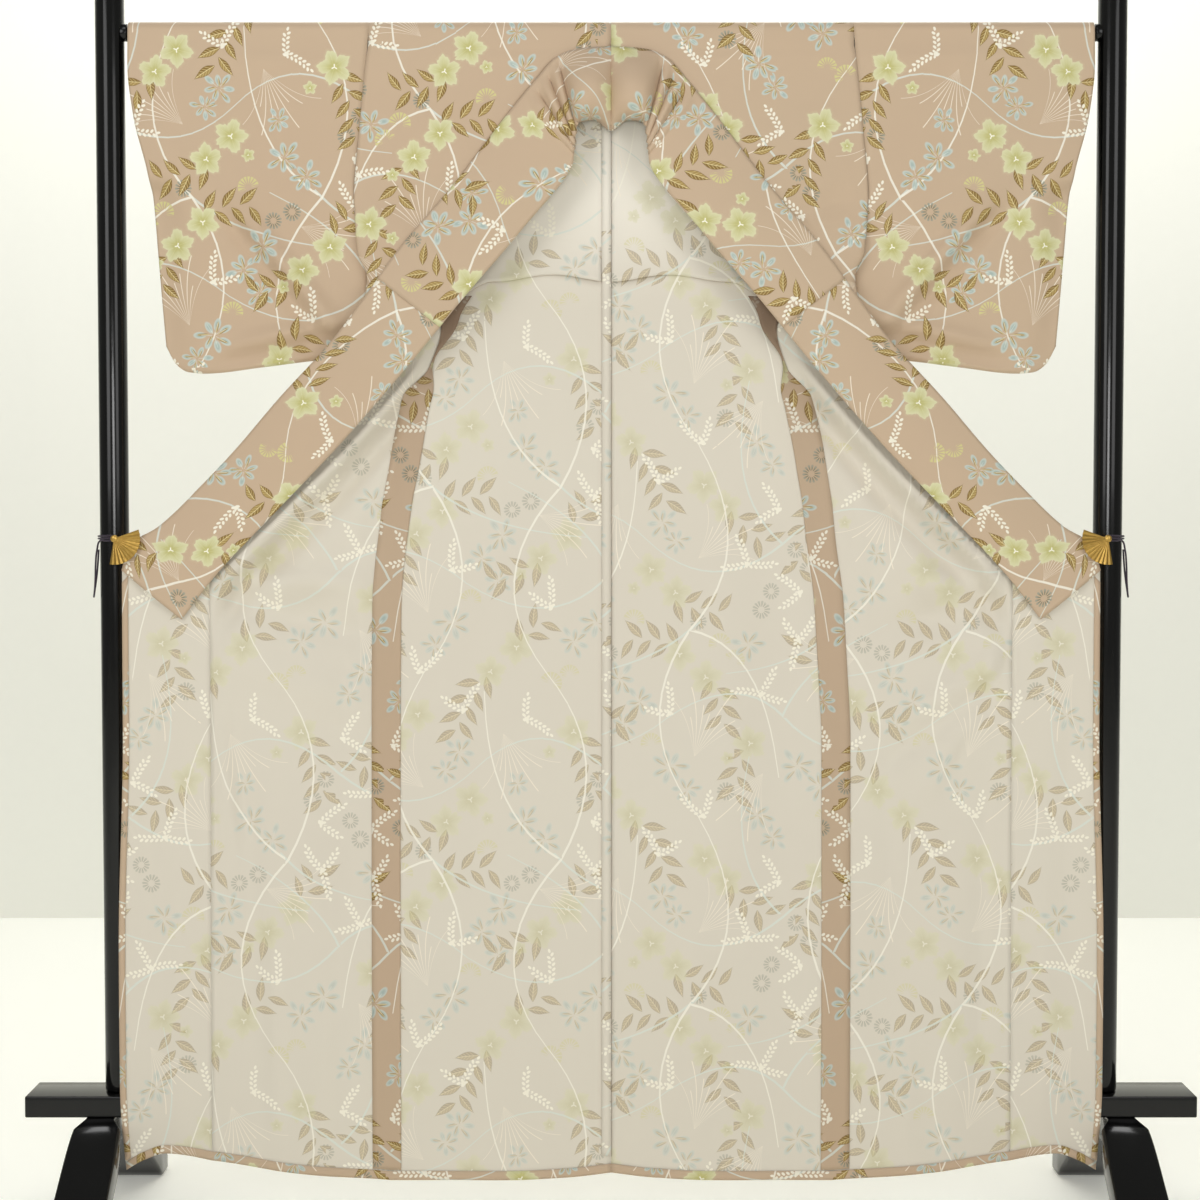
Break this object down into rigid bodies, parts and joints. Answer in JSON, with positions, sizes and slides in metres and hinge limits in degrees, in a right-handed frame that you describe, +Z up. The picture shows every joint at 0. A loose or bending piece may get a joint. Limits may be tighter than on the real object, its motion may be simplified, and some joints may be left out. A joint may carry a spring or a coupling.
{
  "type": "komon kimono on a kimono stand",
  "caption": "Unlined komon kimono hung open on a black lacquered stand, its wide collar spread and held to the posts by fan-shaped clips.",
  "frame": {"origin": "on the floor, midway between the posts and midway between the toes of the feet", "axes": "+Z up; +X to the viewer's right along the rod; the opened fronts face -Y"},
  "size_m": [1.64, 0.472, 1.75],
  "materials": {
    "silk_face": "soft silk sheen, printed all over",
    "silk_reverse": "soft silk sheen, faint reverse of the print",
    "black_lacquer": "glossy black lacquer",
    "gilt": "satin gilt",
    "cord": "matt twisted cord"
  },
  "bodies": {
    "root": {"back_left": "silk_reverse", "back_right": "silk_reverse", "front_left": "silk_face", "front_right": "silk_face", "okumi_left": "silk_reverse", "okumi_right": "silk_reverse", "sleeve_left": "silk_face", "sleeve_right": "silk_face", "collar_left": "silk_face", "collar_right": "silk_face", "over_collar_left": "silk_face", "over_collar_right": "silk_face", "waist_tuck_left": "silk_reverse", "waist_tuck_right": "silk_reverse", "centre_seam_strip": "silk_reverse", "side_seam_strip_left": "silk_face", "side_seam_strip_right": "silk_face", "front_edge_left": "silk_face", "front_edge_right": "silk_face", "hem_left": "silk_face", "hem_right": "silk_face", "post_left": "black_lacquer", "post_right": "black_lacquer", "hanging_rod": "black_lacquer", "rod_bracket_left": "black_lacquer", "rod_bracket_right": "black_lacquer", "base_beam": "black_lacquer", "foot_left": "black_lacquer", "foot_right": "black_lacquer", "clip_left": "gilt", "clip_right": "gilt", "clip_cord_left": "cord", "clip_cord_right": "cord"}
  },
  "joints": []
}
